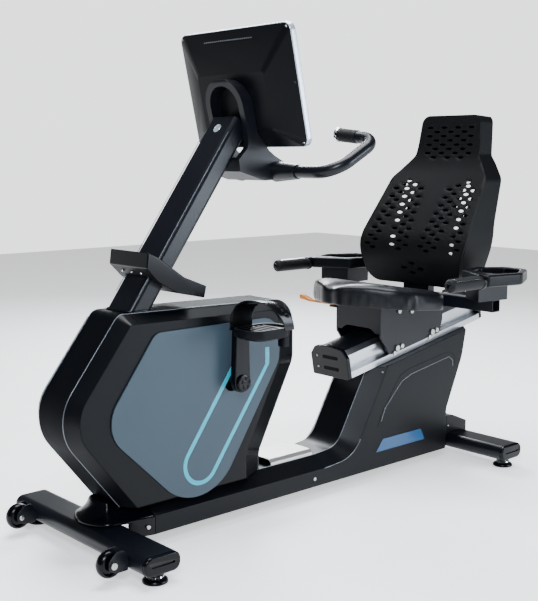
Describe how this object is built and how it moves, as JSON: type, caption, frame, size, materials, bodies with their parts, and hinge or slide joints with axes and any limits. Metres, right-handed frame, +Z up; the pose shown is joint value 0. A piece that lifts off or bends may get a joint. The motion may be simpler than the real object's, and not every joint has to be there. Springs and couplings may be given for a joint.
{
  "type": "recumbent exercise bike",
  "caption": "Recumbent exercise bike: enclosed flywheel drive with pedals, leaning console mast with handlebar, and a seat with back and armrests that slides on an inclined rail.",
  "frame": {"origin": "on the floor under the middle of the overall length and width", "axes": "+X towards the rider's back, +Y to the rider's right, +Z up"},
  "size_m": [1.5586, 0.78, 1.2712],
  "materials": {
    "frame_paint": "satin powder coat, charcoal navy",
    "cover_plastic": "satin moulded, black",
    "panel_plastic": "satin moulded, slate blue",
    "strip_plastic": "translucent light pipe, cyan",
    "lens_plastic": "smoked blue lens",
    "bright_sheet": "satin anodised",
    "rail_metal": "satin extruded",
    "rail_skin": "satin black strip",
    "zinc_steel": "zinc plated",
    "bare_steel": "turned",
    "flywheel_iron": "machined",
    "black_rubber": "matt",
    "wheel_rubber": "matt",
    "seat_leather": "glossy black leatherette",
    "back_plastic": "fine texture, black",
    "board_wood": "plywood",
    "trim_silver": "silver lacquer",
    "screen_panel": "dark screen",
    "gloss_black": "gloss black",
    "lever_orange": "amber orange"
  },
  "bodies": {
    "base": {"front_stabilizer": "frame_paint", "rear_stabilizer": "frame_paint", "stabilizer_end_caps": "gloss_black", "main_frame": "frame_paint", "crank_bearings": "bare_steel", "drive_belt": "black_rubber", "shroud_right_shell": "cover_plastic", "shroud_left_shell": "cover_plastic", "shroud_center_band": "cover_plastic", "right_side_cover": "cover_plastic", "left_side_cover": "cover_plastic", "center_cover": "cover_plastic", "step_plate": "bright_sheet", "front_foot_cover": "gloss_black", "rear_foot_cover": "gloss_black", "side_panels": "panel_plastic", "light_strips": "strip_plastic", "side_lenses": "lens_plastic", "mast": "frame_paint", "accessory_tray": "cover_plastic", "console_yoke": "cover_plastic", "handlebar": "frame_paint", "handlebar_sleeves": "black_rubber", "console_bezel": "trim_silver", "console_screen": "screen_panel", "console_back_shell": "cover_plastic", "seat_rail": "rail_metal", "rail_top_cover": "rail_skin", "rail_end_caps": "gloss_black", "fasteners": "zinc_steel"},
    "crank": {"crank_axle": "bare_steel", "crank_arms": "frame_paint", "drive_pulley": "cover_plastic", "pedal_spindles": "bare_steel"},
    "left_pedal_body": {"left_pedal": "cover_plastic", "left_pedal_strap": "black_rubber"},
    "right_pedal_body": {"right_pedal": "cover_plastic", "right_pedal_strap": "black_rubber"},
    "flywheel_body": {"flywheel": "flywheel_iron", "small_pulley": "bare_steel"},
    "seat": {"seat_carriage": "frame_paint", "carriage_bolts": "zinc_steel", "seat_board": "board_wood", "seat_cushion": "seat_leather", "backrest_panel": "back_plastic", "backrest_frame": "back_plastic", "armrest_frame": "frame_paint", "armrest_trays": "cover_plastic", "seat_grips": "black_rubber", "pulse_contacts": "bare_steel"},
    "front_roller_pair": {"front_rollers": "back_plastic"},
    "rear_roller_pair": {"rear_rollers": "back_plastic"},
    "lever": {"adjust_lever": "lever_orange"},
    "shoe": {"brake_shoe": "black_rubber"},
    "wheel_left": {"transport_wheel_left": "wheel_rubber"},
    "wheel_right": {"transport_wheel_right": "wheel_rubber"},
    "foot_front_left": {"front_foot_left": "black_rubber"},
    "foot_front_right": {"front_foot_right": "black_rubber"},
    "foot_rear_left": {"rear_foot_left": "black_rubber"},
    "foot_rear_right": {"rear_foot_right": "black_rubber"}
  },
  "joints": [
    {"name": "flywheel_spin", "type": "hinge", "parent": "base", "child": "flywheel_body", "pos_m": [-0.44533, 0, 0.25], "axis": [0, 1, 0], "continuous": true},
    {"name": "crank_spin", "type": "hinge", "parent": "base", "child": "crank", "pos_m": [-0.29633, 0, 0.382], "axis": [0, 1, 0], "continuous": true},
    {"name": "left_pedal_spin", "type": "hinge", "parent": "crank", "child": "left_pedal_body", "pos_m": [-0.29633, -0.199, 0.518], "axis": [0, 1, 0], "continuous": true},
    {"name": "right_pedal_spin", "type": "hinge", "parent": "crank", "child": "right_pedal_body", "pos_m": [-0.29633, 0.199, 0.246], "axis": [0, 1, 0], "continuous": true},
    {"name": "seat_slide", "type": "slide", "parent": "base", "child": "seat", "axis": [0.9833, 0, 0.1822], "range_m": [-0.1, 0.19]},
    {"name": "front_roller_spin", "type": "hinge", "parent": "seat", "child": "front_roller_pair", "pos_m": [0.34267, 0, 0.38434], "axis": [0, 1, 0], "continuous": true},
    {"name": "rear_roller_spin", "type": "hinge", "parent": "seat", "child": "rear_roller_pair", "pos_m": [0.50367, 0, 0.41418], "axis": [0, 1, 0], "continuous": true},
    {"name": "adjust_lever_turn", "type": "hinge", "parent": "seat", "child": "lever", "pos_m": [0.27667, 0.104, 0.506], "axis": [0, 0, -1], "range_deg": [0, 20], "stiffness_Nm_per_rad": 0.5},
    {"name": "brake_shoe_lift", "type": "slide", "parent": "seat", "child": "shoe", "axis": [-0.1822, 0, 0.9833], "range_m": [0, 0.01]},
    {"name": "left_wheel_spin", "type": "hinge", "parent": "base", "child": "wheel_left", "pos_m": [-0.74733, -0.206, 0.05], "axis": [0, 1, 0], "continuous": true},
    {"name": "right_wheel_spin", "type": "hinge", "parent": "base", "child": "wheel_right", "pos_m": [-0.74733, 0.206, 0.05], "axis": [0, 1, 0], "continuous": true},
    {"name": "front_left_foot_level", "type": "slide", "parent": "base", "child": "foot_front_left", "axis": [0, 0, -1], "range_m": [0, 0.012]},
    {"name": "front_right_foot_level", "type": "slide", "parent": "base", "child": "foot_front_right", "axis": [0, 0, -1], "range_m": [0, 0.012]},
    {"name": "rear_left_foot_level", "type": "slide", "parent": "base", "child": "foot_rear_left", "axis": [0, 0, -1], "range_m": [0, 0.012]},
    {"name": "rear_right_foot_level", "type": "slide", "parent": "base", "child": "foot_rear_right", "axis": [0, 0, -1], "range_m": [0, 0.012]}
  ],
  "couplings": [
    {"joint": "crank_spin", "follows": "flywheel_spin", "ratio": 0.20833},
    {"joint": "front_roller_spin", "follows": "seat_slide", "rad_per_m": 56.18},
    {"joint": "rear_roller_spin", "follows": "seat_slide", "rad_per_m": 56.18},
    {"joint": "brake_shoe_lift", "follows": "adjust_lever_turn", "m_per_rad": 0.028648}
  ]
}
